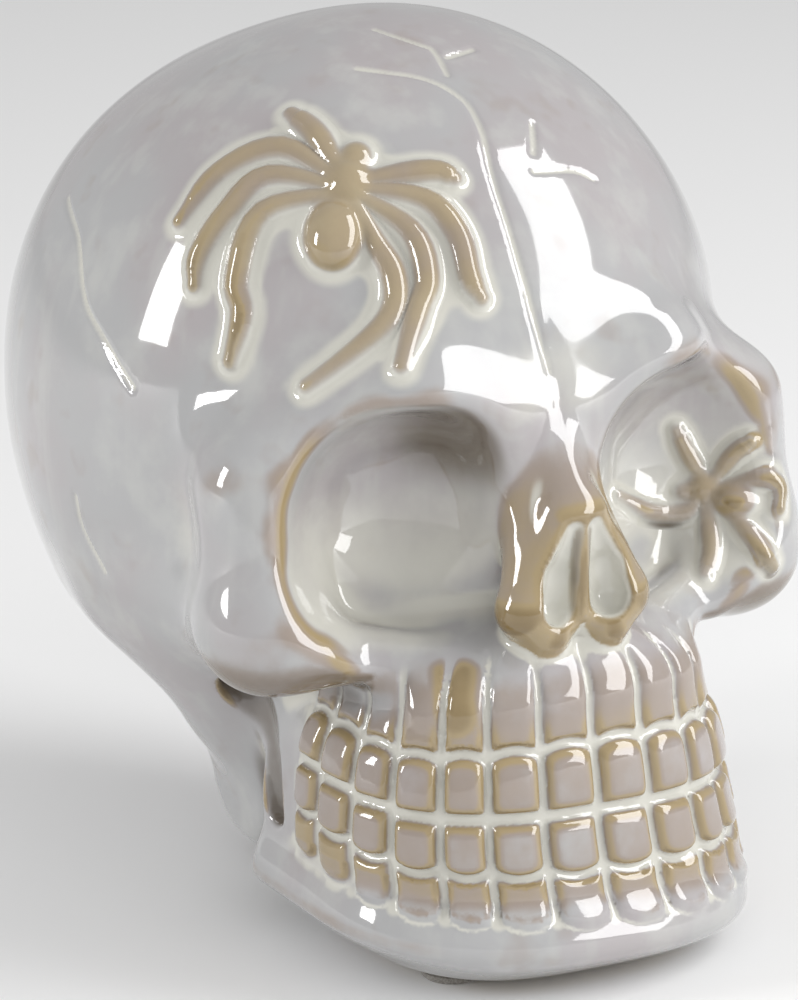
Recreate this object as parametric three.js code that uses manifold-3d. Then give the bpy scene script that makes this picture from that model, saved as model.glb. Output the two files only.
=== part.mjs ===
// A glazed stoneware skull ornament: one hollow casting, two pressed spiders and four felt feet.
// Millimetres, +Z up. The face looks along -Y and the feet stand on Z = 0.
import * as THREE from 'three';
import { ParametricGeometry } from 'three/addons/geometries/ParametricGeometry.js';
import { mergeVertices } from 'three/addons/utils/BufferGeometryUtils.js';
import Module from 'manifold-3d';

const { lerp, clamp, smoothstep, degToRad } = THREE.MathUtils;
const wasm = await Module();
wasm.setup();

// Feet, base and wall
const padDiameter = 10;
const padThickness = 1.6;
const padFrontX = 15;
const padFrontY = -55;
const padBackX = 12;
const padBackY = 6;
const wallThickness = 5.5;
const drainDiameter = 16;
const drainY = -2;
const baseRounding = 12;

// Cranium: a tilted vault, a taller and narrower forehead, and a broad underside
const vaultWidth = 117;
const vaultLength = 130;
const vaultHeight = 110;
const vaultY = 4.5;
const vaultZ = 93;
const vaultTilt = 13.7;
const foreheadWidth = 98;
const foreheadDepth = 58;
const foreheadHeight = 139;
const foreheadY = -8;
const foreheadZ = 73.5;
const undersideWidth = 109;
const undersideLength = 108;
const undersideHeight = 104;
const undersideY = 4;
const undersideZ = 72;
const undersideFloorZ = 43;
const faceWidth = 76;
const faceDepth = 52;
const faceHeight = 56;
const faceY = -36;
const faceZ = 78;

// Bones of one half of the face, each end a ball: x, y, z and radius
const browInner = [5, -54, 96, 6];
const browPeak = [22, -55, 99.5, 6];
const browOuter = [43.5, -43, 86, 7.3];
const rimSide = [43.5, -45, 76, 7.2];
const cheekTop = [44, -47.5, 64, 8];
const cheekFront = [43, -48.5, 62.5, 8];
const cheekInner = [20, -58.5, 58.5, 7];
const archFront = [43.5, -44, 63, 8.5];
const archBack = [43, -4, 62, 9];

// Eye sockets: squarish bowls that open forward and outward, crisp at the side and soft at the sill
const socketWidth = 37;
const socketHeight = 39.5;
const socketDepth = 20;
const socketX = 28.3;
const socketY = -64;
const socketZ = 80;
const socketTurn = 14;
const socketPitch = 4;
const socketSquareness = 2.4;
const socketRimBlend = 5;
const socketSillBlend = 12;

// Nose: a bridge that forks into two wings round a pair of drop-shaped nostrils
const noseRoot = [0, -56.5, 93.5, 4.5];
const noseTip = [0, -66.3, 80.5, 4.3];
const noseFlank = [1.5, -57.5, 91, 4];
const wingTop = [2.2, -67, 79.5, 3.6];
const wingSide = [8.6, -67.2, 65.6, 4.3];
const wingFoot = [5.6, -68, 61.8, 3.8];
const nostrilTop = [2, -71.4, 78.5, 1.2];
const nostrilMiddle = [4.2, -70.4, 71, 2.6];
const nostrilFoot = [5, -70.2, 66.4, 3];
const septumTop = [0, -69.4, 78, 1.2];
const septumFoot = [0, -70, 64.5, 1.3];
const noseBase = [0, -66.8, 64.4, 2.8];

// Jaws: one arch, whose half width and depth change with height
const archCentreY = -44;
const archRearY = -22;
const archTopZ = 65;
const archRun = 20;
const archSquareness = 2.6;
const archHalfWidths = [[-3, 24], [2, 33.5], [9, 39.5], [20, 36], [33, 34.5], [50, 31], [60, 29]];
const archDepths = [[-3, 24], [2, 31.5], [9, 35], [20, 31.3], [33, 30.3], [50, 28.5], [62, 25]];

// Teeth: widths from the middle of the mouth to the last molar, the same on both sides and rows
const toothWidths = [9.7, 9.1, 7.6, 8, 8, 9, 9];
const biteZ = 32.5;
const biteGap = 1.8;
const biteRise = 2.6;
const toothGap = 1.2;
const upperFrontTooth = 11;
const upperBackTooth = 9;
const lowerFrontTooth = 9.9;
const lowerBackTooth = 8.5;
const toothRelief = 1.8;
const toothFullness = 5;
const crownFullness = 6;
const upperGumBow = 1.2;
const lowerGumBow = 1.6;

// Roots over the upper teeth and sockets under the lower ones
const rootRelief = 1.3;
const rootFullness = 4;
const rootTopZ = 61;
const rootFade = 8;
const rootStart = 0.8;
const rootRun = 1.8;
const footHeight = 9;
const footStart = 1;
const footRun = 1.2;
const footFade = 3;
const footEnd = 10;

// Ramus, neck and the slot behind the molars
const ramusFoot = [30, -8, 18, 12];
const ramusHead = [30, -6, 60, 12];
const ramusX = 24;
const ramusHalfThickness = 8;
const neckHalfWidth = 26.5;
const neckHalfDepth = 25;
const neckY = 2;
const neckFlare = 10;
const slotTop = [37, -24, 46, 3.6];
const slotFoot = [35, -30, 22, 2.2];
const hollowRear = [42, -30, 50, 8];
const hollowFront = [38, -60, 52, 8];

// The casting is a little askew: by height, the fall per mm across it, and the chin's shift to one side
const leans = [[10, 0.09], [33, 0.04], [55, 0], [78, -0.035], [100, -0.02], [130, 0]];
const shifts = [[9, 3], [33, 0.6], [50, 0]];

// Spiders: where each is pressed on, and its legs as flat outlines from the middle of its back
const pressGap = 0.3;
const seatStep = 1.5;
const legLift = 0.3;
const bodyFlatness = 0.85;
const foreheadSpider = {
  turn: -30,
  rise: 37.5,
  legDiameter: 3.4,
  reach: 25,
  body: [[0, 0, 3.6, 4.2], [0.9, 4.6, 2.4, 2.6], [-1.8, -9.6, 4.6, 6]],
  legs: [
    [[-1, 1], [-6, 9.2], [-10.1, 13.2]],
    [[-1, 0], [-11.2, 6.7], [-21, 3.4], [-27.1, -4.1]],
    [[-1, -1], [-13, 1.6], [-19.2, -4], [-23.5, -10.3], [-24, -15]],
    [[-1, -2], [-13.4, -4.7], [-17, -14.9], [-16, -20.3], [-17.7, -26.8]],
    [[1, 0], [12.8, 3.1], [16.5, 2.3]],
    [[1, -1], [12.2, -2.1], [17.6, -7.3], [19.8, -13.9], [21.6, -16.8]],
    [[1, -2], [10.3, -7.7], [13.2, -14.9], [12, -20.6], [10.2, -30.7]],
    [[1, -3], [5.4, -12.6], [8.3, -15.4], [8, -21], [4.8, -25], [-4.9, -32.1]],
  ],
};
const socketSpider = {
  turn: 150,
  rise: -19,
  legDiameter: 2.4,
  reach: 11,
  body: [[-0.4, 0.3, 2.6, 2.4], [-3.6, -0.4, 1.6, 1.3], [5, -1.6, 3.6, 2.6]],
  legs: [
    [[0, 1], [-3.2, 6], [-5, 9.8]],
    [[1, 1], [4.3, 5.9], [7.1, 8.3]],
    [[2, 0], [8.6, 2.3], [11.9, 1.4], [12.4, -2.3]],
    [[-1, -1], [-3, -3.8], [-8.7, -4], [-13.5, -1.5]],
    [[0, -1], [1.7, -9.6], [1.1, -13.9]],
    [[2, -1], [8.8, -8.1], [11.9, -12.1]],
  ],
};

// How softly the forms run into each other
const foreheadBlend = 20;
const undersideEdge = 14;
const undersideBlend = 12;
const browBlend = 10;
const rimBlend = 12;
const cheekBlend = 8;
const archBlend = 12;
const faceBlend = 10;
const jawTopEdge = 12;
const jawRearEdge = 6;
const cheekHollowEdge = 5;
const ramusEdge = 5;
const neckEdge = 5;
const jawBlend = 4;
const slotEdge = 2;
const bridgeBlend = 3;
const wingBlend = 2;
const noseBlend = 2.5;
const nostrilBlend = 1;
const nostrilEdge = 1.5;
const septumBlend = 1;
const cavityBlend = 8;

// How finely the skin is divided
const archSteps = 120;
const columnsPerTooth = 4;
const columnsBehindTeeth = 11;
const domeRows = 8;
const mouthAxisY = -28;
const vaultAxisY = 15;
const domeRise = 15;
const crowding = 1.6;
const settlingRounds = 8;
const slopeStep = 0.2;
const longestSlide = 2;
const farOut = 130;
const axisRadius = 1;
const stride = 0.6;
const shortestStride = 0.01;
const nearEnough = 0.005;
const cavityColumns = 26;
const cavityRows = 16;
const legSides = 3;
const tipSides = 6;
const bodySides = 10;
const padSides = 20;
const drainSides = 24;

const baseZ = padThickness;
const vaultCentre = [0, vaultY, vaultZ];
const socketCentre = [socketX, socketY, socketZ];
const domeZ = browPeak[2] + domeRise;
const lowerGumZ = biteZ - (lowerFrontTooth + lowerBackTooth) / 2;
const upperGumZ = biteZ + (upperFrontTooth + upperBackTooth) / 2;

// Signed distances and soft blends

function ellipsoid(p, centre, radii) {
  const q = p.map((c, i) => (c - centre[i]) / radii[i]);
  const length = Math.hypot(...q);
  const slope = Math.hypot(q[0] / radii[0], q[1] / radii[1], q[2] / radii[2]);
  return length < 1e-6 ? -Math.min(...radii) : length * (length - 1) / slope;
}

function bone(p, a, b) {
  const axis = [b[0] - a[0], b[1] - a[1], b[2] - a[2]];
  const q = [p[0] - a[0], p[1] - a[1], p[2] - a[2]];
  const along = q[0] * axis[0] + q[1] * axis[1] + q[2] * axis[2];
  const t = clamp(along / (axis[0] ** 2 + axis[1] ** 2 + axis[2] ** 2), 0, 1);
  const away = Math.hypot(q[0] - t * axis[0], q[1] - t * axis[1], q[2] - t * axis[2]);
  return away - lerp(a[3], b[3], t);
}

function join(a, b, blend) {
  const h = Math.max(blend - Math.abs(a - b), 0) / blend;
  return Math.min(a, b) - h * h * blend / 4;
}

const meet = (a, b, blend) => -join(-a, -b, blend);
const carve = (a, b, blend) => -join(-a, b, blend);

function turnAboutX(p, centre, degrees) {
  const angle = degToRad(degrees);
  const y = p[1] - centre[1];
  const z = p[2] - centre[2];
  return [
    p[0],
    centre[1] + y * Math.cos(angle) - z * Math.sin(angle),
    centre[2] + y * Math.sin(angle) + z * Math.cos(angle),
  ];
}

function turnAboutZ(p, centre, degrees) {
  const angle = degToRad(degrees);
  const x = p[0] - centre[0];
  const y = p[1] - centre[1];
  return [
    centre[0] + x * Math.cos(angle) - y * Math.sin(angle),
    centre[1] + x * Math.sin(angle) + y * Math.cos(angle),
    p[2],
  ];
}

// A value that eases from station to station: [[place, value], ...]
function eased(place, stations) {
  const next = stations.findIndex(([at]) => place <= at);
  if (next === 0) return stations[0][1];
  if (next < 0) return stations[stations.length - 1][1];
  const [at0, value0] = stations[next - 1];
  const [at1, value1] = stations[next];
  return lerp(value0, value1, smoothstep(place, at0, at1));
}

// The dental arch: length along it from the middle, by the angle about its centre
const archHalfWidth = z => eased(z, archHalfWidths);
const archDepth = z => eased(z, archDepths);

function archPoint(turn) {
  const x = archHalfWidth(biteZ) * Math.sin(turn) ** (2 / archSquareness);
  const y = archCentreY - archDepth(biteZ) * Math.max(0, Math.cos(turn)) ** (2 / archSquareness);
  return new THREE.Vector2(x, y);
}

const archPoints = Array.from({ length: archSteps + 1 }, (_, i) => archPoint(i / archSteps * Math.PI / 2));
archPoints.push(new THREE.Vector2(archHalfWidth(biteZ), archRearY + archRun));
const archLengths = archPoints.reduce((lengths, point, i) => {
  lengths.push(i ? lengths[i - 1] + point.distanceTo(archPoints[i - 1]) : 0);
  return lengths;
}, []);
const archAngles = archPoints.map(point => Math.atan2(point.x, archCentreY - point.y));

function interpolate(value, from, to) {
  let i = 1;
  while (i < from.length - 1 && from[i] < value) i += 1;
  return lerp(to[i - 1], to[i], clamp((value - from[i - 1]) / (from[i] - from[i - 1]), 0, 1));
}

const lengthAlongArch = p => interpolate(Math.atan2(p[0], archCentreY - p[1]), archAngles, archLengths);

function arch(p) {
  const halfWidth = archHalfWidth(p[2]);
  const depth = archDepth(p[2]);
  const across = (p[0] / halfWidth) ** archSquareness;
  const forward = (Math.max(0, archCentreY - p[1]) / depth) ** archSquareness;
  return ((across + forward) ** (1 / archSquareness) - 1) * Math.min(halfWidth, depth);
}

// Teeth, roots above them and sockets below, as a height over the arch
const pillow = (t, fullness) => Math.sqrt(Math.max(0, 1 - Math.abs(2 * t - 1) ** fullness));

function reliefOverArch(p) {
  const length = lengthAlongArch(p);
  let tooth = 0;
  let start = 0;
  while (tooth < toothWidths.length && length > start + toothWidths[tooth]) {
    start += toothWidths[tooth];
    tooth += 1;
  }
  if (tooth === toothWidths.length) return 0;
  const width = toothWidths[tooth];
  const across = (length - start) / width;
  const face = clamp((across - 0.5) * width / (width - toothGap) + 0.5, 0, 1);
  const bow = (2 * across - 1) ** 2;
  const back = tooth / (toothWidths.length - 1);
  const bite = biteZ + biteRise * Math.max(0, 2 * back - 1);
  const upperFoot = bite + biteGap / 2;
  const upperHead = bite + lerp(upperFrontTooth, upperBackTooth, back) - upperGumBow * bow;
  const lowerHead = bite - biteGap / 2;
  const lowerFoot = bite - lerp(lowerFrontTooth, lowerBackTooth, back) + lowerGumBow * bow;
  const z = p[2];
  if (z > upperHead) {
    const rise = smoothstep(z - upperHead, rootStart, rootStart + rootRun);
    const fall = 1 - smoothstep(z, rootTopZ - rootFade, rootTopZ);
    return rootRelief * pillow(face, rootFullness) * rise * fall;
  }
  if (z > upperFoot) {
    const crown = pillow((z - upperFoot) / (upperHead - upperFoot), crownFullness);
    return toothRelief * pillow(face, toothFullness) * crown;
  }
  if (z > lowerHead) return 0;
  if (z > lowerFoot) {
    const crown = pillow((z - lowerFoot) / (lowerHead - lowerFoot), crownFullness);
    return toothRelief * pillow(face, toothFullness) * crown;
  }
  const rise = smoothstep(lowerFoot - z, footStart, footStart + footRun);
  const fall = 1 - smoothstep(lowerFoot - z, footEnd - footFade, footEnd);
  return rootRelief * pillow(face, toothFullness) * rise * fall;
}

// Parts of the form, for the half where x is not negative

function braincase(p) {
  const vaultRadii = [vaultWidth / 2, vaultLength / 2, vaultHeight / 2];
  const foreheadRadii = [foreheadWidth / 2, foreheadDepth / 2, foreheadHeight / 2];
  const undersideRadii = [undersideWidth / 2, undersideLength / 2, undersideHeight / 2];
  const vault = ellipsoid(turnAboutX(p, vaultCentre, vaultTilt), vaultCentre, vaultRadii);
  const forehead = ellipsoid(p, [0, foreheadY, foreheadZ], foreheadRadii);
  const underside = ellipsoid(p, [0, undersideY, undersideZ], undersideRadii);
  const floor = meet(underside, undersideFloorZ - p[2], undersideEdge);
  return join(join(vault, forehead, foreheadBlend), floor, undersideBlend);
}

function face(p) {
  let d = ellipsoid(p, [0, faceY, faceZ], [faceWidth / 2, faceDepth / 2, faceHeight / 2]);
  d = join(d, bone(p, browInner, browPeak), browBlend);
  d = join(d, bone(p, browPeak, browOuter), browBlend);
  d = join(d, bone(p, browOuter, rimSide), rimBlend);
  d = join(d, bone(p, rimSide, cheekTop), cheekBlend);
  d = join(d, bone(p, cheekFront, cheekInner), cheekBlend);
  return join(d, bone(p, archFront, archBack), archBlend);
}

function neck(p) {
  const column = (Math.hypot(p[0] / neckHalfWidth, (p[1] - neckY) / neckHalfDepth) - 1) * neckHalfDepth;
  const flare = neckFlare * smoothstep(p[2], undersideFloorZ - 17, undersideFloorZ + 13);
  return meet(column - flare, p[2] - undersideZ, neckEdge);
}

function jaws(p) {
  let d = meet(arch(p) - reliefOverArch(p), p[2] - archTopZ, jawTopEdge);
  d = meet(d, p[1] - archRearY, jawRearEdge);
  d = carve(d, bone(p, hollowRear, hollowFront), cheekHollowEdge);
  const plate = Math.abs(p[0] - ramusX) - ramusHalfThickness;
  const ramus = meet(plate, bone(p, ramusFoot, ramusHead), ramusEdge);
  return join(join(d, ramus, jawBlend), neck(p), jawBlend);
}

function socket(p) {
  const q = turnAboutX(turnAboutZ(p, socketCentre, -socketTurn), socketCentre, socketPitch);
  const across = (Math.abs(q[0] - socketX) / (socketWidth / 2)) ** socketSquareness;
  const upward = (Math.abs(q[2] - socketZ) / (socketHeight / 2)) ** socketSquareness;
  const inward = ((q[1] - socketY) / socketDepth) ** 2;
  return (Math.sqrt((across + upward) ** (2 / socketSquareness) + inward) - 1) * socketWidth / 2;
}

function socketEdge(p) {
  const below = 1 - smoothstep(p[2], socketZ - 0.4 * socketHeight, socketZ - 0.05 * socketHeight);
  const within = 1 - smoothstep(p[0], socketX + 0.05 * socketWidth, socketX + 0.3 * socketWidth);
  return lerp(socketRimBlend, socketSillBlend, below * within);
}

function nose(p) {
  let d = join(bone(p, noseRoot, noseTip), bone(p, noseFlank, wingSide), bridgeBlend);
  d = join(d, bone(p, wingTop, wingSide), wingBlend);
  d = join(d, bone(p, wingSide, wingFoot), wingBlend);
  d = join(d, bone(p, wingFoot, noseBase), wingBlend);
  return join(d, bone(p, noseTip, noseBase), bridgeBlend);
}

function nostril(p) {
  return join(bone(p, nostrilTop, nostrilMiddle), bone(p, nostrilMiddle, nostrilFoot), nostrilBlend);
}

// The outer form and the hollow inside it

function mirrored(p) {
  return [Math.abs(p[0] - eased(p[2], shifts)), p[1], p[2] + eased(p[2], leans) * p[0]];
}

function outerForm(p) {
  const q = mirrored(p);
  let d = join(braincase(q), face(q), faceBlend);
  d = join(d, jaws(q), jawBlend);
  d = carve(d, bone(q, slotTop, slotFoot), slotEdge);
  d = carve(d, socket(q), socketEdge(q));
  d = join(d, nose(q), noseBlend);
  d = carve(d, nostril(q), nostrilEdge);
  d = join(d, bone(q, septumTop, septumFoot), septumBlend);
  return meet(d, baseZ - p[2], baseRounding);
}

function innerForm(p) {
  const q = mirrored(p);
  const core = join(braincase(q), neck(q), cavityBlend) + wallThickness;
  const clearOfSlot = carve(core, bone(q, slotTop, slotFoot) - wallThickness, cavityBlend);
  return carve(clearOfSlot, socket(q) - wallThickness, cavityBlend);
}

function slopeOf(form, point, step) {
  const slope = [0, 1, 2].map(axis => {
    const ahead = point.map((c, i) => c + (i === axis ? step : 0));
    const behind = point.map((c, i) => c - (i === axis ? step : 0));
    return (form(ahead) - form(behind)) / (2 * step);
  });
  return new THREE.Vector3(...slope);
}

// Rays go level from a standing axis up to the dome, then fan out over it
const axisY = z => lerp(mouthAxisY, vaultAxisY, smoothstep(z, upperGumZ, rootTopZ));

function cast(form, from, ray, start, end) {
  let t = start;
  while (t > end) {
    const d = form(from.map((c, i) => c + ray[i] * t));
    if (d < nearEnough) break;
    t -= Math.max(shortestStride, d * stride);
  }
  return from.map((c, i) => c + ray[i] * t);
}

const castInward = (form, from, ray) => cast(form, from, ray, farOut, axisRadius);
const castOutward = (form, from, ray) => cast(p => -form(p), from, ray.map(c => -c), 0, -farOut);

function heading(turn, rise) {
  const [a, b] = [degToRad(turn), degToRad(rise)];
  return [Math.sin(a) * Math.cos(b), -Math.cos(a) * Math.cos(b), Math.sin(b)];
}

const levels = (from, to, count) => Array.from({ length: count }, (_, i) => lerp(from, to, i / count));
const skinLevels = [
  ...levels(baseZ, lowerGumZ - footHeight, 6),
  ...levels(lowerGumZ - footHeight, lowerGumZ, 4),
  ...levels(lowerGumZ, biteZ, 5),
  ...levels(biteZ, upperGumZ, 6),
  ...levels(upperGumZ, rootTopZ, 8),
  ...levels(rootTopZ, noseTip[2], 9),
  ...levels(noseTip[2], domeZ, 11),
];

// Column angles of one half: by teeth round the mouth, and crowded to the front above it
const toothColumns = toothWidths.length * columnsPerTooth;
const halfColumns = toothColumns + columnsBehindTeeth;
const sum = values => values.reduce((total, value) => total + value, 0);
const toothStarts = toothWidths.map((_, i) => sum(toothWidths.slice(0, i)));

function mouthAngle(column) {
  const tooth = Math.min(Math.floor(column / columnsPerTooth), toothWidths.length - 1);
  const share = Math.min(column, toothColumns) / columnsPerTooth - tooth;
  const length = toothStarts[tooth] + share * toothWidths[tooth];
  const x = interpolate(length, archLengths, archPoints.map(point => point.x));
  const y = interpolate(length, archLengths, archPoints.map(point => point.y));
  const angle = Math.atan2(x, axisY(biteZ) - y);
  return lerp(angle, Math.PI, (Math.max(0, column - toothColumns) / columnsBehindTeeth) ** crowding);
}

const mouthAngles = Array.from({ length: halfColumns + 1 }, (_, i) => mouthAngle(i));
const upperAngles = mouthAngles.map((_, i) => Math.PI * (i / halfColumns) ** crowding);

function columnAngle(column, z) {
  const i = Math.abs(column);
  return Math.sign(column) * lerp(mouthAngles[i], upperAngles[i], smoothstep(z, upperGumZ, rootTopZ));
}

// Each ray follows the lean of its row of teeth
function skinPoint(form, column, row) {
  if (row === 0) return [0, axisY(baseZ), baseZ];
  const rise = Math.max(0, row - 1 - skinLevels.length) / domeRows * Math.PI / 2;
  const z = skinLevels[row - 1] ?? domeZ;
  const angle = columnAngle(column - halfColumns, z);
  const lean = eased(z, leans) * smoothstep(z, baseZ, lowerGumZ - footHeight);
  const across = Math.sin(angle) * Math.cos(rise);
  const ray = [across, -Math.cos(angle) * Math.cos(rise), Math.sin(rise) - lean * across];
  return castInward(form, [eased(z, shifts), axisY(z), z], ray);
}

// A point brought back onto a form, along its slope
function onto(form, point) {
  const slope = slopeOf(form, point, slopeStep);
  const reach = clamp(form(point) / Math.max(slope.lengthSq(), 0.1), -longestSlide, longestSlide);
  return point.map((c, i) => c - reach * slope.getComponent(i));
}

// Rows of points, evened out along the form wherever no teeth fix them
function settledRows(form) {
  const columns = 2 * halfColumns;
  const last = skinLevels.length + domeRows + 1;
  let rows = Array.from({ length: last + 1 }, (_, row) =>
    Array.from({ length: columns }, (_, column) => skinPoint(form, column, row)));
  for (let round = 0; round < settlingRounds; round += 1) {
    rows = rows.map((points, row) => points.map((point, column) => {
      const free = smoothstep(point[2], upperGumZ, rootTopZ) / 2;
      if (row < 2 || row === last || free === 0) return point;
      const before = points[(column + columns - 1) % columns];
      const after = points[(column + 1) % columns];
      const [below, above] = [rows[row - 1][column], rows[row + 1][column]];
      const even = point.map((_, i) => (before[i] + after[i] + below[i] + above[i]) / 4);
      return onto(form, onto(form, point.map((c, i) => lerp(c, even[i], free))));
    }));
  }
  return rows;
}

// Each square of the skin folds along the diagonal that lies closer to the form
function skin(form) {
  const rows = settledRows(form);
  const geometry = new ParametricGeometry((u, v, target) => {
    const column = Math.round(u * 2 * halfColumns) % (2 * halfColumns);
    target.set(...rows[Math.round(v * (rows.length - 1))][column]);
  }, 2 * halfColumns, rows.length - 1);
  const [from, to] = [new THREE.Vector3(), new THREE.Vector3()];
  const off = (a, b) => {
    from.fromBufferAttribute(geometry.attributes.position, a);
    to.fromBufferAttribute(geometry.attributes.position, b);
    return Math.abs(form(from.lerp(to, 0.5).toArray()));
  };
  const index = geometry.index.array;
  for (let i = 0; i < index.length; i += 6) {
    const [a, b, d, , c] = index.slice(i, i + 6);
    if (off(a, c) < off(b, d)) index.set([a, b, c, a, c, d], i);
  }
  return geometry;
}

// The same skin a little further out
function grown(geometry, form, gap) {
  const swollen = geometry.clone();
  const { position } = swollen.attributes;
  const point = new THREE.Vector3();
  for (let i = 0; i < position.count; i += 1) {
    point.fromBufferAttribute(position, i);
    point.addScaledVector(slopeOf(form, point.toArray(), slopeStep).normalize(), gap);
    position.setXYZ(i, ...point);
  }
  return swollen;
}

function cavity() {
  const floorZ = baseZ + wallThickness;
  return new ParametricGeometry((u, v, target) => {
    const angle = (2 * u - 1) * Math.PI;
    const row = Math.round(v * cavityRows);
    const rise = Math.max(0, 2 * row / cavityRows - 1) * Math.PI / 2;
    const z = lerp(floorZ, domeZ, clamp(2 * (row - 1) / (cavityRows - 2), 0, 1));
    const ray = [Math.sin(angle) * Math.cos(rise), -Math.cos(angle) * Math.cos(rise), Math.sin(rise)];
    const axis = [0, neckY, z];
    target.set(...(row ? castOutward(innerForm, axis, ray) : axis));
  }, cavityColumns, cavityRows);
}

// Solids, joined and cut

function solid(geometry) {
  const bare = geometry.index ? geometry.clone() : geometry;
  bare.deleteAttribute('normal');
  bare.deleteAttribute('uv');
  const merged = mergeVertices(bare, 1e-4);
  const index = merged.index.array;
  const triVerts = [];
  for (let i = 0; i < index.length; i += 3) {
    const [a, b, c] = [index[i], index[i + 1], index[i + 2]];
    if (a !== b && b !== c && c !== a) triVerts.push(a, b, c);
  }
  return new wasm.Manifold(new wasm.Mesh({
    numProp: 3,
    vertProperties: merged.attributes.position.array,
    triVerts: new Uint32Array(triVerts),
  }));
}

function mesh(name, body, material) {
  const { vertProperties, triVerts } = body.getMesh();
  const geometry = new THREE.BufferGeometry();
  geometry.setAttribute('position', new THREE.BufferAttribute(vertProperties, 3));
  geometry.setIndex(new THREE.BufferAttribute(triVerts, 1));
  geometry.computeVertexNormals();
  const result = new THREE.Mesh(geometry, material);
  result.name = name;
  return result;
}

// A spider lies flat on a plane that touches the skin at its seat, and drops onto the skin along it
function spider({ legDiameter, reach, body, legs }, seat, clearance) {
  const normal = slopeOf(outerForm, seat, seatStep).normalize();
  const across = new THREE.Vector3(0, 0, 1).cross(normal).normalize();
  const upward = normal.clone().cross(across);
  const onSkin = ([a, b]) => {
    const start = new THREE.Vector3(...seat).addScaledVector(across, a).addScaledVector(upward, b);
    return new THREE.Vector3(...cast(outerForm, start.toArray(), normal.toArray(), reach, -reach));
  };
  const section = new THREE.Shape().absarc(0, 0, legDiameter / 2, 0, 2 * Math.PI);
  const pieces = body.map(([a, b, halfWidth, halfLength]) => {
    const ball = new THREE.SphereGeometry(1, bodySides, bodySides - 3);
    const frame = new THREE.Matrix4().makeBasis(across, upward, normal).setPosition(onSkin([a, b]));
    return solid(ball.scale(halfWidth, halfLength, halfWidth * bodyFlatness).applyMatrix4(frame));
  });
  for (const leg of legs) {
    const raised = leg.map(onSkin).map(point => point.addScaledVector(normal, legLift * legDiameter));
    const route = new THREE.CatmullRomCurve3(raised);
    const tube = { steps: 2 * leg.length, curveSegments: legSides, extrudePath: route };
    pieces.push(solid(new THREE.ExtrudeGeometry(section, tube)));
    const tip = new THREE.SphereGeometry(legDiameter / 2, tipSides, tipSides - 1);
    pieces.push(solid(tip.translate(...route.getPoint(1).toArray())));
  }
  const whole = pieces.reduce((joined, piece) => joined.add(piece)).subtract(clearance);
  return whole.decompose().reduce((largest, piece) => piece.volume() > largest.volume() ? piece : largest);
}

function pad(x, y) {
  const disc = new THREE.CylinderGeometry(padDiameter / 2, padDiameter / 2, padThickness, padSides);
  return solid(disc.rotateX(Math.PI / 2).translate(x, y, padThickness / 2));
}

const glaze = new THREE.MeshStandardMaterial({ color: 0xc9c5bd, roughness: 0.12, metalness: 0 });
const tanGlaze = new THREE.MeshStandardMaterial({ color: 0xb09468, roughness: 0.15, metalness: 0 });
const felt = new THREE.MeshStandardMaterial({ color: 0x4a4640, roughness: 0.95, metalness: 0 });

const drain = new THREE.CylinderGeometry(drainDiameter / 2, drainDiameter / 2, 6 * wallThickness, drainSides);
drain.rotateX(Math.PI / 2).translate(0, drainY, baseZ);
const outerSkin = skin(outerForm);
const shell = solid(outerSkin).subtract(solid(cavity())).subtract(solid(drain));
const clearance = solid(grown(outerSkin, outerForm, pressGap));
const foreheadRay = heading(foreheadSpider.turn, foreheadSpider.rise);
const foreheadSeat = castInward(outerForm, vaultCentre, foreheadRay);
const socketRay = heading(socketSpider.turn, socketSpider.rise);
const socketSeat = castOutward(p => -outerForm(p), socketCentre, socketRay);

const ornament = new THREE.Group();
ornament.add(mesh('skull_shell', shell, glaze));
ornament.add(mesh('forehead_spider', spider(foreheadSpider, foreheadSeat, clearance), tanGlaze));
ornament.add(mesh('socket_spider', spider(socketSpider, socketSeat, clearance), tanGlaze));
ornament.add(mesh('felt_pad_front_left', pad(-padFrontX, padFrontY), felt));
ornament.add(mesh('felt_pad_front_right', pad(padFrontX, padFrontY), felt));
ornament.add(mesh('felt_pad_back_left', pad(-padBackX, padBackY), felt));
ornament.add(mesh('felt_pad_back_right', pad(padBackX, padBackY), felt));

// The origin is the middle of the footprint
const box = new THREE.Box3().setFromObject(ornament);
ornament.position.y = -(box.min.y + box.max.y) / 2;

export default ornament;
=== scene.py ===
import math
from concurrent.futures import ThreadPoolExecutor

import bmesh
import bpy
import numpy as np
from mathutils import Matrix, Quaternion, Vector


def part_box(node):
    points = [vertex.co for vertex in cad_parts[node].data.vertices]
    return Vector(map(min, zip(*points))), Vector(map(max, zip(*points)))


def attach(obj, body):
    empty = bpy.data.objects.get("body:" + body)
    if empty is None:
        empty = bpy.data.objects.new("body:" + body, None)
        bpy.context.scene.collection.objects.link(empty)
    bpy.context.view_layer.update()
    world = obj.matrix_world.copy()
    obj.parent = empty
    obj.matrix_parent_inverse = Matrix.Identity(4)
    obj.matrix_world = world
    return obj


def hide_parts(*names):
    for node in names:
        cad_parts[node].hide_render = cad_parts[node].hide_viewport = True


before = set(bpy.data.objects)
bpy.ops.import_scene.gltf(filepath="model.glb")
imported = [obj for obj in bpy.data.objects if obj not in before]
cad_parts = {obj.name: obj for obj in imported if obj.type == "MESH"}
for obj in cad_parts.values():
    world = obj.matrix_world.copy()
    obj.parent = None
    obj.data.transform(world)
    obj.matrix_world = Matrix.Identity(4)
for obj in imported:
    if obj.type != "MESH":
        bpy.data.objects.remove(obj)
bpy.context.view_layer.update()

# The glazed skull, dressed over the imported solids. The form is worked out in millimetres, in the
# casting's own axes, and set into the frame in metres at the end.
MM = 0.001

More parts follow.
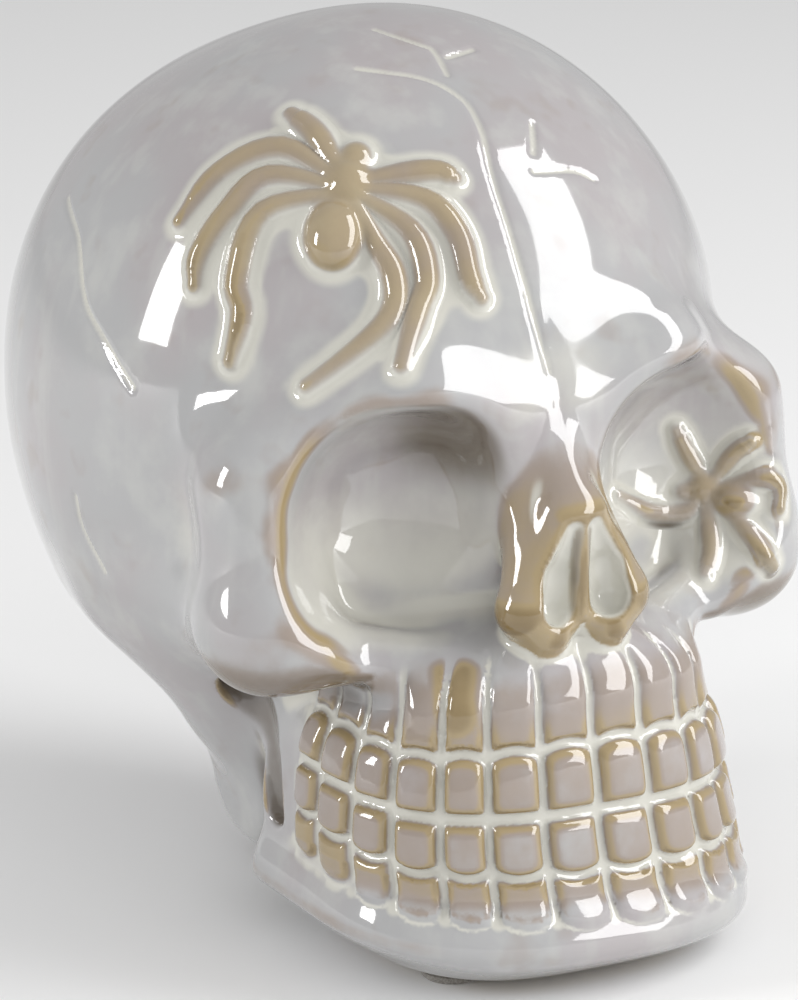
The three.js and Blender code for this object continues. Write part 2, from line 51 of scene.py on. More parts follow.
# Feet and base
PAD_FRONT_Y = -55
PAD_EDGE = 0.4
pad_low, pad_high = (np.array(corner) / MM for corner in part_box("felt_pad_front_left"))
BASE_Z = pad_high[2]
SHIFT_Y = (pad_low[1] + pad_high[1]) / 2 - PAD_FRONT_Y
BASE_ROUNDING = 12
WALL = 5.5
DRAIN_DIAMETER = 16
DRAIN_Y = -2

# Cranium: a tilted vault, a taller and narrower forehead, and a broad underside
VAULT_RADII = np.array([117, 130, 110]) / 2
VAULT_CENTRE = np.array([0, 4.5, 93])
VAULT_TILT = 13.7
FOREHEAD_RADII = np.array([98, 58, 139]) / 2
FOREHEAD_CENTRE = np.array([0, -8, 73.5])
UNDERSIDE_RADII = np.array([109, 108, 104]) / 2
UNDERSIDE_CENTRE = np.array([0, 4, 72])
UNDERSIDE_FLOOR_Z = 43
FACE_RADII = np.array([76, 52, 56]) / 2
FACE_CENTRE = np.array([0, -36, 78])

# Bones of one half of the face, each end a ball: x, y, z and radius
BROW_INNER = (5, -54, 96, 6)
BROW_PEAK = (22, -55, 99.5, 6)
BROW_OUTER = (43.5, -43, 86, 7.3)
RIM_SIDE = (43.5, -45, 76, 7.2)
CHEEK_TOP = (44, -47.5, 64, 8)
CHEEK_FRONT = (43, -48.5, 62.5, 8)
CHEEK_INNER = (20, -58.5, 58.5, 7)
ARCH_FRONT = (43.5, -44, 63, 8.5)
ARCH_BACK = (43, -4, 62, 9)

# Eye sockets: rounded squares that open forward and a little outward
SOCKET_CENTRE = np.array([28.3, -64, 80])
SOCKET_WIDTH = 37
SOCKET_HEIGHT = 39.5
SOCKET_DEPTH = 20
SOCKET_TURN = 14
SOCKET_PITCH = 4
SOCKET_SQUARENESS = 2.4
SOCKET_RIM = 5
SOCKET_SILL = 12
SILL_HEIGHT_SPAN = (-0.4, -0.05)
SILL_WIDTH_SPAN = (0.05, 0.3)

# Nose: a bridge that forks into two wings round a pair of drop-shaped nostrils
NOSE_ROOT = (0, -56.5, 93.5, 4.5)
NOSE_TIP = (0, -66.3, 80.5, 4.3)
NOSE_FLANK = (1.5, -57.5, 91, 4)
WING_TOP = (2.2, -67, 79.5, 3.6)
WING_SIDE = (8.6, -67.2, 65.6, 4.3)
WING_FOOT = (5.6, -68, 61.8, 3.8)
NOSTRIL_TOP = (2, -71.4, 78.5, 1.2)
NOSTRIL_MIDDLE = (4.2, -70.4, 71, 2.6)
NOSTRIL_FOOT = (5, -70.2, 66.4, 3)
SEPTUM_TOP = (0, -69.4, 78, 1.2)
SEPTUM_FOOT = (0, -70, 64.5, 1.3)
NOSE_BASE = (0, -66.8, 64.4, 2.8)

# Jaws: one arch, whose half width and depth change with height
ARCH_CENTRE_Y = -44
ARCH_REAR_Y = -22
ARCH_TOP_Z = 65
ARCH_SQUARENESS = 2.6
ARCH_POINTS = 121
ARCH_RUN_OUT = 20
ARCH_HALF_WIDTHS = ((-3, 24), (2, 33.5), (9, 39.5), (20, 36), (33, 34.5), (50, 31), (60, 29))
ARCH_DEPTHS = ((-3, 24), (2, 31.5), (9, 35), (20, 31.3), (33, 30.3), (50, 28.5), (62, 25))

# Teeth: widths from the middle of the mouth to the last molar, the same on both sides and rows
TOOTH_WIDTHS = np.array([9.7, 9.1, 7.6, 8, 8, 9, 9])
BITE_Z = 32.5
BITE_GAP = 1.8
BITE_RISE = 2.6
TOOTH_GAP = 1.2
UPPER_FRONT_TOOTH = 11
UPPER_BACK_TOOTH = 9
LOWER_FRONT_TOOTH = 9.9
LOWER_BACK_TOOTH = 8.5
TOOTH_RELIEF = 1.8
TOOTH_FULLNESS = 5
CROWN_FULLNESS = 6
UPPER_GUM_BOW = 1.2
LOWER_GUM_BOW = 1.6

# Roots over the upper teeth and sockets under the lower ones
ROOT_RELIEF = 1.3
ROOT_FULLNESS = 4
ROOT_TOP_Z = 61
ROOT_FADE = 8
ROOT_START = 0.8
ROOT_RUN = 1.8
FOOT_START = 1
FOOT_RUN = 1.2
FOOT_FADE = 3
FOOT_END = 10

# Ramus, neck and the slot behind the molars
RAMUS_FOOT = (30, -8, 18, 12)
RAMUS_HEAD = (30, -6, 60, 12)
RAMUS_X = 24
RAMUS_HALF_THICKNESS = 8
NECK_HALF_WIDTH = 26.5
NECK_HALF_DEPTH = 25
NECK_Y = 2
NECK_FLARE = 10
NECK_FLARE_SPAN = (-17, 13)
SLOT_TOP = (37, -24, 46, 3.6)
SLOT_FOOT = (35, -30, 22, 2.2)
HOLLOW_REAR = (42, -30, 50, 8)
HOLLOW_FRONT = (38, -60, 52, 8)

# The casting is a little askew: by height, the fall per mm across it, and the chin's shift to one side
LEANS = ((10, 0.09), (33, 0.04), (55, 0), (78, -0.035), (100, -0.02), (130, 0))
SHIFTS = ((9, 3), (33, 0.6), (50, 0))

# Spiders: where each is pressed on, and its legs as flat outlines from the middle of its back
FOREHEAD_SPIDER = {
    "turn": -30,
    "rise": 37.5,
    "leg_diameter": 3.4,
    "reach": 25,
    "body": ((0, 0, 3.6, 4.2), (0.9, 4.6, 2.4, 2.6), (-1.7, -8.8, 4.7, 6)),
    "legs": (
        ((-1, 1), (-6, 9.2), (-10.1, 13.2)),
        ((-1, 0), (-11.2, 6.7), (-21, 3.4), (-27.1, -4.1)),
        ((-1, -1), (-13, 1.6), (-19.2, -4), (-23.5, -10.3), (-24, -15)),
        ((-1, -2), (-13.4, -4.7), (-17, -14.9), (-16, -20.3), (-17.7, -26.8)),
        ((1, 0), (12.8, 3.1), (16.5, 2.3)),
        ((1, -1), (12.2, -2.1), (17.6, -7.3), (19.8, -13.9), (21.6, -16.8)),
        ((1, -2), (10.3, -7.7), (13.2, -14.9), (12, -20.6), (10.2, -30.7)),
        ((1, -3), (4.8, -9.8), (8, -15), (8.2, -20.5), (4.6, -25.6), (-4.9, -32.1)),
    ),
}
SOCKET_SPIDER = {
    "turn": 150,
    "rise": -19,
    "leg_diameter": 2.4,
    "reach": 11,
    "body": ((-0.4, 0.3, 2.6, 2.4), (-3.6, -0.4, 1.6, 1.3), (5, -1.6, 3.6, 2.6)),
    "legs": (
        ((0, 1), (-3.2, 6), (-5, 9.8)),
        ((1, 1), (4.3, 5.9), (7.1, 8.3)),
        ((2, 0), (8.6, 2.3), (11.9, 1.4), (12.4, -2.3)),
        ((-1, -1), (-3, -3.8), (-8.7, -4), (-13.5, -1.5)),
        ((0, -1), (1.7, -9.6), (1.1, -13.9)),
        ((2, -1), (8.8, -8.1), (11.9, -12.1)),
    ),
}
BODY_HEIGHT = 0.85
BODY_BLEND = 1.2
LEG_LIFT = 0.25
LEG_POINTS = 5
SEAT_PATCH = 1.5
SPIDER_FILLET = 2.2
SPIDER_ROOT = 0.8
SPIDER_DIP = 0.25
SPIDER_SINK = 0.08
SKIRT_SPAN = (0.6, 1)
SKIRT_END = 1.2
SPIDER_FAR = 5.0
LEG_SWELL = ((0, 0.6), (0.4, 1.08), (0.75, 0.98), (1, 0.62))

# Cracks drawn in the clay, as turn and rise about the middle of the vault
CRACKS = (
    ((-19, 71), (-4, 65), (-1, 63), (-2, 57)),
    ((-28, 60), (-10, 57), (-2, 52), (-1, 46), (-3, 37), (-3, 26), (-2, 16), (-1, 8)),
    ((2, 61), (14, 62)),
    ((12, 45), (8, 40)),
    ((6, 37), (15, 36), (19, 34)),
    ((-100, 29), (-87, 24), (-79, 15), (-72, 10), (-65, 4)),
    ((-79, -16), (-78, -21), (-73, -26)),
)
CRACK_POINTS = 4
CRACK_HALF_WIDTH = 1.1
CRACK_DEPTH = 0.45

# A brown stain over the root of one canine: two ends, each x, y, z and radius
STAIN_TOP = (-20.3, -65, 56.5, 2)
STAIN_FOOT = (-22.2, -68.5, 50, 2)

# How softly the forms run into each other
FOREHEAD_BLEND = 20
UNDERSIDE_EDGE = 14
UNDERSIDE_BLEND = 12
BROW_BLEND = 10
RIM_BLEND = 12
CHEEK_BLEND = 8
ARCH_BLEND = 12
FACE_BLEND = 10
JAW_TOP_EDGE = 12
JAW_REAR_EDGE = 6
CHEEK_HOLLOW_EDGE = 5
RAMUS_EDGE = 5
NECK_EDGE = 5
JAW_BLEND = 4
SLOT_EDGE = 2
BRIDGE_BLEND = 3
WING_BLEND = 2
NOSE_BLEND = 2.5
NOSTRIL_BLEND = 1
NOSTRIL_EDGE = 1.5
SEPTUM_BLEND = 1
CAVITY_BLEND = 8

# Mesh sizes
SKULL_STEP = 0.62
SPIDER_STEP = 0.36
CAVITY_STEP = 2.2
SIDES = 64
BLOCK = 5
BLOCK_REACH = 1.7
EVENNESS = 0.6
SETTLING_ROUNDS = 3
SLOPE_STEP = 0.05
FLATTEST = 0.05

# Walks along a ray, from far out to the skin
FAR_OUT = 130
LONGEST_WALK = 300
STRIDE = 0.6
SHORTEST_STRIDE = 0.01
NEAR_ENOUGH = 0.005
ON_SKIN = 0.1


# Signed distances and soft blends, on arrays of points
workers = ThreadPoolExecutor()
PART = 20000


def in_parts(form):
    """The same form, worked out a part at a time on all the cores."""
    def whole(p):
        if len(p) < 2 * PART:
            return form(p)
        return np.concatenate(list(workers.map(form, np.array_split(p, len(p) // PART))))
    return whole


def smooth(value, low, high):
    t = np.clip((value - low) / (high - low), 0, 1)
    return t * t * (3 - 2 * t)


def past(value, span):
    """0 below a span of values and 1 above it."""
    return smooth(value, *span)


def within(value, span):
    """1 below a span of values and 0 above it."""
    return 1 - smooth(value, *span)


def ellipsoid(p, centre, radii):
    q = (p - centre) / radii
    length = np.linalg.norm(q, axis=1)
    slope = np.linalg.norm(q / radii, axis=1)
    return np.where(length < 1e-6, -np.min(radii), length * (length - 1) / np.maximum(slope, 1e-9))


def bone(p, a, b):
    start = np.array(a[:3])
    axis = np.array(b[:3]) - start
    q = p - start
    t = np.clip(q @ axis / (axis @ axis), 0, 1)
    away = np.linalg.norm(q - t[:, None] * axis, axis=1)
    return away - a[3] - (b[3] - a[3]) * t


def join(a, b, blend):
    h = np.maximum(blend - np.abs(a - b), 0) / blend
    return np.minimum(a, b) - h * h * blend / 4


def meet(a, b, blend):
    return -join(-a, -b, blend)


def carve(a, b, blend):
    return -join(-a, b, blend)


def turned(p, centre, degrees, axes):
    angle = math.radians(degrees)
    first, second = axes
    q = p.copy()
    u = p[:, first] - centre[first]
    v = p[:, second] - centre[second]
    q[:, first] = centre[first] + u * math.cos(angle) - v * math.sin(angle)
    q[:, second] = centre[second] + u * math.sin(angle) + v * math.cos(angle)
    return q


def eased(place, stations):
    """A value that eases from station to station: ((place, value), ...)."""
    value = np.full(np.shape(place), float(stations[0][1]))
    for (at0, value0), (at1, value1) in zip(stations, stations[1:]):
        value += (value1 - value0) * smooth(place, at0, at1)
    return value


# The dental arch: length along it from the middle, by the angle about its centre


def arch_outline():
    turn = np.linspace(0, math.pi / 2, ARCH_POINTS)
    half_width = eased(BITE_Z, ARCH_HALF_WIDTHS)
    depth = eased(BITE_Z, ARCH_DEPTHS)
    x = half_width * np.sin(turn) ** (2 / ARCH_SQUARENESS)
    y = ARCH_CENTRE_Y - depth * np.maximum(0, np.cos(turn)) ** (2 / ARCH_SQUARENESS)
    return np.append(x, half_width), np.append(y, ARCH_REAR_Y + ARCH_RUN_OUT)


arch_x, arch_y = arch_outline()
arch_lengths = np.append(0, np.cumsum(np.hypot(np.diff(arch_x), np.diff(arch_y))))
arch_angles = np.arctan2(arch_x, ARCH_CENTRE_Y - arch_y)
tooth_ends = np.cumsum(TOOTH_WIDTHS)
tooth_starts = tooth_ends - TOOTH_WIDTHS


def arch(p):
    half_width = eased(p[:, 2], ARCH_HALF_WIDTHS)
    depth = eased(p[:, 2], ARCH_DEPTHS)
    across = (np.abs(p[:, 0]) / half_width) ** ARCH_SQUARENESS
    forward = (np.maximum(0, ARCH_CENTRE_Y - p[:, 1]) / depth) ** ARCH_SQUARENESS
    return ((across + forward) ** (1 / ARCH_SQUARENESS) - 1) * np.minimum(half_width, depth)


# Teeth, roots above them and sockets below, as a height over the arch


def pillow(t, fullness):
    return np.sqrt(np.maximum(0, 1 - np.abs(2 * t - 1) ** fullness))


def along_arch(p):
    """Length along the arch, from the middle of the mouth."""
    angle = np.arctan2(p[:, 0], ARCH_CENTRE_Y - p[:, 1])
    return np.interp(angle, arch_angles, arch_lengths)


def relief_over_arch(p):
    length = along_arch(p)
    last = len(TOOTH_WIDTHS) - 1
    tooth = np.minimum(np.searchsorted(tooth_ends, length), last)
    width = TOOTH_WIDTHS[tooth]
    across = (length - tooth_starts[tooth]) / width
    face = np.clip((across - 0.5) * width / (width - TOOTH_GAP) + 0.5, 0, 1)
    bow = (2 * across - 1) ** 2
    back = tooth / last
    bite = BITE_Z + BITE_RISE * np.maximum(0, 2 * back - 1)
    upper_foot = bite + BITE_GAP / 2
    upper_height = UPPER_FRONT_TOOTH + (UPPER_BACK_TOOTH - UPPER_FRONT_TOOTH) * back
    upper_head = bite + upper_height - UPPER_GUM_BOW * bow
    lower_head = bite - BITE_GAP / 2
    lower_height = LOWER_FRONT_TOOTH + (LOWER_BACK_TOOTH - LOWER_FRONT_TOOTH) * back
    lower_foot = bite - lower_height + LOWER_GUM_BOW * bow
    z = p[:, 2]
    side = pillow(face, TOOTH_FULLNESS)
    upper = TOOTH_RELIEF * side * pillow((z - upper_foot) / (upper_head - upper_foot), CROWN_FULLNESS)
    lower = TOOTH_RELIEF * side * pillow((z - lower_foot) / (lower_head - lower_foot), CROWN_FULLNESS)
    root = smooth(z - upper_head, ROOT_START, ROOT_START + ROOT_RUN)
    root = root * (1 - smooth(z, ROOT_TOP_Z - ROOT_FADE, ROOT_TOP_Z))
    root = ROOT_RELIEF * pillow(face, ROOT_FULLNESS) * root
    below = lower_foot - z
    foot = smooth(below, FOOT_START, FOOT_START + FOOT_RUN)
    foot = ROOT_RELIEF * side * foot * (1 - smooth(below, FOOT_END - FOOT_FADE, FOOT_END))
    relief = np.where(z > upper_head, root, 0)
    relief = np.where((z > upper_foot) & (z <= upper_head), upper, relief)
    relief = np.where((z > lower_foot) & (z <= lower_head), lower, relief)
    relief = np.where(z <= lower_foot, foot, relief)
    return np.where(length > tooth_ends[-1], 0, relief)


# Parts of the form, for the half where x is not negative


def braincase(p):
    vault = ellipsoid(turned(p, VAULT_CENTRE, VAULT_TILT, (1, 2)), VAULT_CENTRE, VAULT_RADII)
    forehead = ellipsoid(p, FOREHEAD_CENTRE, FOREHEAD_RADII)
    underside = ellipsoid(p, UNDERSIDE_CENTRE, UNDERSIDE_RADII)
    floor = meet(underside, UNDERSIDE_FLOOR_Z - p[:, 2], UNDERSIDE_EDGE)
    return join(join(vault, forehead, FOREHEAD_BLEND), floor, UNDERSIDE_BLEND)


def face(p):
    d = ellipsoid(p, FACE_CENTRE, FACE_RADII)
    d = join(d, bone(p, BROW_INNER, BROW_PEAK), BROW_BLEND)
    d = join(d, bone(p, BROW_PEAK, BROW_OUTER), BROW_BLEND)
    d = join(d, bone(p, BROW_OUTER, RIM_SIDE), RIM_BLEND)
    d = join(d, bone(p, RIM_SIDE, CHEEK_TOP), CHEEK_BLEND)
    d = join(d, bone(p, CHEEK_FRONT, CHEEK_INNER), CHEEK_BLEND)
    return join(d, bone(p, ARCH_FRONT, ARCH_BACK), ARCH_BLEND)


def neck(p):
    column = np.hypot(p[:, 0] / NECK_HALF_WIDTH, (p[:, 1] - NECK_Y) / NECK_HALF_DEPTH)
    flare = NECK_FLARE * past(p[:, 2] - UNDERSIDE_FLOOR_Z, NECK_FLARE_SPAN)
    return meet((column - 1) * NECK_HALF_DEPTH - flare, p[:, 2] - UNDERSIDE_CENTRE[2], NECK_EDGE)


def jaws(p):
    d = meet(arch(p) - relief_over_arch(p), p[:, 2] - ARCH_TOP_Z, JAW_TOP_EDGE)
    d = meet(d, p[:, 1] - ARCH_REAR_Y, JAW_REAR_EDGE)
    d = carve(d, bone(p, HOLLOW_REAR, HOLLOW_FRONT), CHEEK_HOLLOW_EDGE)
    plate = np.abs(p[:, 0] - RAMUS_X) - RAMUS_HALF_THICKNESS
    ramus = meet(plate, bone(p, RAMUS_FOOT, RAMUS_HEAD), RAMUS_EDGE)
    return join(join(d, ramus, JAW_BLEND), neck(p), JAW_BLEND)


def socket(p):
    q = turned(p, SOCKET_CENTRE, -SOCKET_TURN, (0, 1))
    q = turned(q, SOCKET_CENTRE, SOCKET_PITCH, (1, 2)) - SOCKET_CENTRE
    across = (np.abs(q[:, 0]) / (SOCKET_WIDTH / 2)) ** SOCKET_SQUARENESS
    upward = (np.abs(q[:, 2]) / (SOCKET_HEIGHT / 2)) ** SOCKET_SQUARENESS
    inward = (q[:, 1] / SOCKET_DEPTH) ** 2
    return (np.sqrt((across + upward) ** (2 / SOCKET_SQUARENESS) + inward) - 1) * SOCKET_WIDTH / 2


def socket_edge(p):
    """How round the edge of a socket is: crisp at the side and the brow, soft at the sill."""
    low = within((p[:, 2] - SOCKET_CENTRE[2]) / SOCKET_HEIGHT, SILL_HEIGHT_SPAN)
    inner = within((p[:, 0] - SOCKET_CENTRE[0]) / SOCKET_WIDTH, SILL_WIDTH_SPAN)
    return SOCKET_RIM + (SOCKET_SILL - SOCKET_RIM) * low * inner


def nose(p):
    d = join(bone(p, NOSE_ROOT, NOSE_TIP), bone(p, NOSE_FLANK, WING_SIDE), BRIDGE_BLEND)
    d = join(d, bone(p, WING_TOP, WING_SIDE), WING_BLEND)
    d = join(d, bone(p, WING_SIDE, WING_FOOT), WING_BLEND)
    d = join(d, bone(p, WING_FOOT, NOSE_BASE), WING_BLEND)
    return join(d, bone(p, NOSE_TIP, NOSE_BASE), BRIDGE_BLEND)


def nostril(p):
    return join(bone(p, NOSTRIL_TOP, NOSTRIL_MIDDLE), bone(p, NOSTRIL_MIDDLE, NOSTRIL_FOOT), NOSTRIL_BLEND)


# The outer form and the hollow inside it


def mirrored(p):
    x, y, z = p.T
    return np.stack([np.abs(x - eased(z, SHIFTS)), y, z + eased(z, LEANS) * x], axis=1)


@in_parts
def skull_form(p):
    q = mirrored(p)
    d = join(braincase(q), face(q), FACE_BLEND)
    d = join(d, jaws(q), JAW_BLEND)
    d = carve(d, bone(q, SLOT_TOP, SLOT_FOOT), SLOT_EDGE)
    d = carve(d, socket(q), socket_edge(q))
    d = join(d, nose(q), NOSE_BLEND)
    d = carve(d, nostril(q), NOSTRIL_EDGE)
    d = join(d, bone(q, SEPTUM_TOP, SEPTUM_FOOT), SEPTUM_BLEND)
    return meet(d, BASE_Z - p[:, 2], BASE_ROUNDING)


@in_parts
def hollow_form(p):
    q = mirrored(p)
    core = join(braincase(q), neck(q), CAVITY_BLEND) + WALL
    core = carve(core, bone(q, SLOT_TOP, SLOT_FOOT) - WALL, CAVITY_BLEND)
    core = carve(core, socket(q) - WALL, CAVITY_BLEND)
    return np.maximum(core, BASE_Z + WALL - p[:, 2])


# Surfaces of a form: a net of quads over a grid, drawn onto the form and evened out


def slope_of(form, p, step=SLOPE_STEP):
    total = np.zeros_like(p)
    for corner in ((1, -1, -1), (-1, -1, 1), (-1, 1, -1), (1, 1, 1)):
        direction = np.array(corner, float)
        total += direction * form(p + step * direction)[:, None]
    return total / (4 * step)


def normals_of(form, p, step=SLOPE_STEP):
    slope = slope_of(form, p, step)
    return slope / np.maximum(np.linalg.norm(slope, axis=1, keepdims=True), 1e-9)


def sampled(form, low, high, step):
    """Values on a grid: exact in blocks that the surface may cross, coarse in the others."""
    counts = np.ceil((high - low) / (step * BLOCK)).astype(int)
    centres = np.indices(counts).reshape(3, -1).T * BLOCK + (BLOCK - 1) / 2
    coarse = form(low + step * centres).reshape(counts)
    values = coarse.repeat(BLOCK, 0).repeat(BLOCK, 1).repeat(BLOCK, 2)
    near = np.abs(values) < BLOCK_REACH * step * BLOCK
    values[near] = form(low + step * np.argwhere(near))
    return values


def net(form, low, high, step):
    values = sampled(form, low, high, step)
    inside = values < 0
    cells = np.array(values.shape) - 1
    count = np.zeros(cells, int)
    for i, j, k in np.ndindex(2, 2, 2):
        count += inside[i:i + cells[0], j:j + cells[1], k:k + cells[2]]
    crossed = (count > 0) & (count < 8)
    number = np.full(cells, -1)
    number[crossed] = np.arange(crossed.sum())
    base = np.argwhere(crossed)
    total = np.zeros(base.shape)
    crossings = np.zeros(len(base))
    quads = []
    for axis in range(3):
        along = np.eye(3, dtype=int)[axis]
        one = np.eye(3, dtype=int)[(axis + 1) % 3]
        two = np.eye(3, dtype=int)[(axis + 2) % 3]
        for i, j in np.ndindex(2, 2):
            start = base + i * one + j * two
            value0 = values[tuple(start.T)]
            value1 = values[tuple((start + along).T)]
            crosses = (value0 < 0) != (value1 < 0)
            share = np.where(crosses, value0 / np.where(crosses, value0 - value1, 1), 0)
            point = i * one + j * two + share[:, None] * along
            total += np.where(crosses[:, None], point, 0)
            crossings += crosses
        edges = np.argwhere(np.diff(inside, axis=axis))
        edges = edges[(edges[:, (axis + 1) % 3] > 0) & (edges[:, (axis + 2) % 3] > 0)]
        edges = edges[np.all(edges < cells, axis=1)]
        ring = [edges, edges - one, edges - one - two, edges - two]
        quad = np.stack([number[tuple(corner.T)] for corner in ring], axis=1)
        leaving = inside[tuple(edges.T)]
        quads.append(np.where(leaving[:, None], quad, quad[:, ::-1]))
    points = low + step * (base + total / crossings[:, None])
    return points, np.concatenate(quads)


def settled(form, points, quads, step):
    """The points of a net, evened out along the form and drawn onto it."""
    corners = quads.ravel()
    shares = np.bincount(corners, minlength=len(points))
    for _ in range(SETTLING_ROUNDS):
        middles = np.repeat(points[quads].mean(axis=1), 4, axis=0)
        even = np.stack([np.bincount(corners, middles[:, i], len(points)) for i in range(3)], axis=1)
        points = (1 - EVENNESS) * points + EVENNESS * even / shares[:, None]
        for _ in range(2):
            slope = slope_of(form, points)
            reach = form(points) / np.maximum((slope ** 2).sum(axis=1), FLATTEST)
            points = points - np.clip(reach, -step, step)[:, None] * slope
    return points


def in_frame(points):
    return (points + np.array([0, SHIFT_Y, 0])) * MM


def piece(name, points, quads, material):
    mesh = bpy.data.meshes.new(name)
    mesh.from_pydata(in_frame(points), [], quads)
    mesh.shade_smooth()
    mesh.materials.append(material)
    result = bpy.data.objects.new(name, mesh)
    bpy.context.collection.objects.link(result)
    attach(result, "root")
    return result


# Spiders: bodies and legs laid on the skin, as bones and blobs with a soft fillet round them


def cast(form, starts, rays, reach):
    """The places where walks down rays, from their far ends, meet the form."""
    t = np.full(len(starts), float(reach))
    for _ in range(LONGEST_WALK):
        d = form(starts + rays * t[:, None])
        if np.all(d < NEAR_ENOUGH):
            break
        t -= np.where(d < NEAR_ENOUGH, 0, np.maximum(SHORTEST_STRIDE, STRIDE * d))
    return starts + rays * t[:, None]


def heading(turn, rise):
    a, b = np.radians(turn), np.radians(rise)
    return np.stack([np.sin(a) * np.cos(b), -np.cos(a) * np.cos(b), np.sin(b)], axis=-1)


def on_vault(angles):
    """Points on the skull, from their turns and rises about the middle of the vault."""
    rays = heading(*np.array(angles, float).T)
    return cast(skull_form, np.tile(VAULT_CENTRE, (len(rays), 1)), rays, FAR_OUT)


def curve_through(points, share):
    """Points of a smooth curve through a leg's outline, a few for each stretch."""
    points = np.array(points, float)
    padded = np.vstack([2 * points[0] - points[1], points, 2 * points[-1] - points[-2]])
    result = []
    for a, b, c, d in zip(padded, padded[1:], padded[2:], padded[3:]):
        for t in np.arange(share) / share:
            result.append(0.5 * (2 * b + (c - a) * t + (2 * a - 5 * b + 4 * c - d) * t ** 2
                                 + (3 * b - a - 3 * c + d) * t ** 3))
    return result + [points[-1]]


class Spider:
    def __init__(self, plan, seat):
        self.seat = seat
        normal = normals_of(skull_form, seat[None], SEAT_PATCH)[0]
        across = np.cross([0, 0, 1], normal)
        across = across / np.linalg.norm(across)
        upward = np.cross(normal, across)
        self.axes = np.array([across, upward, normal])
        self.radius = plan["leg_diameter"] / 2
        self.blobs = []
        for a, b, half_width, half_length in plan["body"]:
            centre = self.on_skin([(a, b)], plan["reach"])[0]
            self.blobs.append((centre, np.array([half_width, half_length, BODY_HEIGHT * half_width])))
        self.legs = []
        for leg in plan["legs"]:
            route = self.on_skin(curve_through(leg, LEG_POINTS), plan["reach"])
            route = route + LEG_LIFT * self.radius * normal
            swell = self.radius * eased(np.linspace(0, 1, len(route)), LEG_SWELL)
            self.legs.append(np.column_stack([route, swell]))
        reach = max(np.linalg.norm(leg[:, :3] - seat, axis=1).max() for leg in self.legs)
        self.reach = reach + 3 * self.radius + SPIDER_FILLET

    def on_skin(self, places, reach):
        across, upward, normal = self.axes
        starts = self.seat + np.array(places) @ np.array([across, upward])
        return cast(skull_form, starts, np.tile(normal, (len(starts), 1)), reach)

    def form(self, p):
        d = np.full(len(p), SPIDER_FAR)
        near = np.linalg.norm(p - self.seat, axis=1) < self.reach + SPIDER_FAR
        d[near] = in_parts(self.near_form)(p[near])
        return d

    def near_form(self, p):
        d = np.full(len(p), SPIDER_FAR)
        for leg in self.legs:
            for a, b in zip(leg, leg[1:]):
                middle = (a + b)[:3] / 2
                reach = np.linalg.norm((b - a)[:3]) / 2 + 2 * self.radius + SPIDER_FAR
                close = np.linalg.norm(p - middle, axis=1) < reach
                d[close] = np.minimum(d[close], bone(p[close], a, b))
        for centre, radii in self.blobs:
            close = np.linalg.norm(p - centre, axis=1) < radii.max() + 2 * SPIDER_FAR
            blob = ellipsoid((p[close] - centre) @ self.axes.T, np.zeros(3), radii)
            d[close] = join(d[close], blob, BODY_BLEND)
        return d


forehead_seat = on_vault([(FOREHEAD_SPIDER["turn"], FOREHEAD_SPIDER["rise"])])[0]
socket_ray = heading(SOCKET_SPIDER["turn"], SOCKET_SPIDER["rise"])
socket_seat = cast(skull_form, SOCKET_CENTRE[None], -socket_ray[None], 0)[0]
forehead_spider = Spider(FOREHEAD_SPIDER, forehead_seat)
socket_spider = Spider(SOCKET_SPIDER, socket_seat)


def relief_form(p):
    """The skull with both spiders blended in, as the glaze sees it."""
    d = skull_form(p)
    for spider in (forehead_spider, socket_spider):
        d = join(d, spider.form(p), SPIDER_FILLET)
    return d


crack_routes = [on_vault(curve_through(route, CRACK_POINTS)) for route in CRACKS]


@in_parts
def crack_at(p):
    """How far each point is into a crack, from 0 beside it to 1 along its middle."""
    nearest = np.full(len(p), 2.0 * CRACK_HALF_WIDTH)
    for route in crack_routes:
        for a, b in zip(route, route[1:]):
            nearest = np.minimum(nearest, bone(p, (*a, 0), (*b, 0)))
    return 1 - smooth(nearest, 0, CRACK_HALF_WIDTH)


# How the glaze runs: thin and tan on raised edges, thick and cream in hollows. The brown under overhangs,
# in narrow gaps, corners and slots is painted shade, and some of the tan on faces that look down is
# painted shade too.
# A span says where an effect comes in, and a share in front of it how strong it is at most.

# How far round a point its bends are felt, in mm, and how far out from it there is room
FINE_REACH = 1.2
MIDDLE_REACH = 3.5
BROAD_REACH = 8.0
ROOM_REACH = 6
BEND_PLACES = 6

# Spans of bend: the mean fall of the skin per mm
FINE_EDGE_SPAN = (0.06, 0.4)
RIDGE_SPAN = (0.08, 0.3)
CREST_BEND_SPAN = (0, 0.1)
FINE_GROOVE_SPAN = (0.03, 0.16)
MIDDLE_GROOVE_SPAN = (0.02, 0.14)
BROAD_HOLLOW_SPAN = (0.03, 0.2)
OVERHANG_SHADE_SPAN = (0.02, 0.2)

# Spans of distance from a form, in mm
SPIDER_SPAN = (-0.2, 0.9)
HALO_SPAN = (0.8, 4)
NOSE_SPAN = (0.3, 1.8)
BESIDE_NOSE_SPAN = (3, 10)
NOSTRIL_SPAN = (0, 1.2)
NOSTRIL_RIM_SPAN = (0.8, 2.5)
SEPTUM_SPAN = (0.1, 1.2)
SOCKET_SPAN = (0.3, 3.5)
CREST_SPAN = (0.8, 4)
SHADED_CORNER_SPAN = (0, 3)
SLOT_SPAN = (0.2, 1.8)
STAIN_SPAN = (-0.5, 3.5)
ARCH_SPAN = (0.5, 2)

# Spans of place, in mm: over the base, from the bite, from the tops of the roots and past the last tooth
FOOT_SPAN = (0.2, 1.4)
CHIN_SPAN = (7.4, 18.4)
ROW_FOOT_SPAN = (-18, -13)
ROOT_HEAD_SPAN = (-8, -2)
LAST_TOOTH_SPAN = (-1, 1)

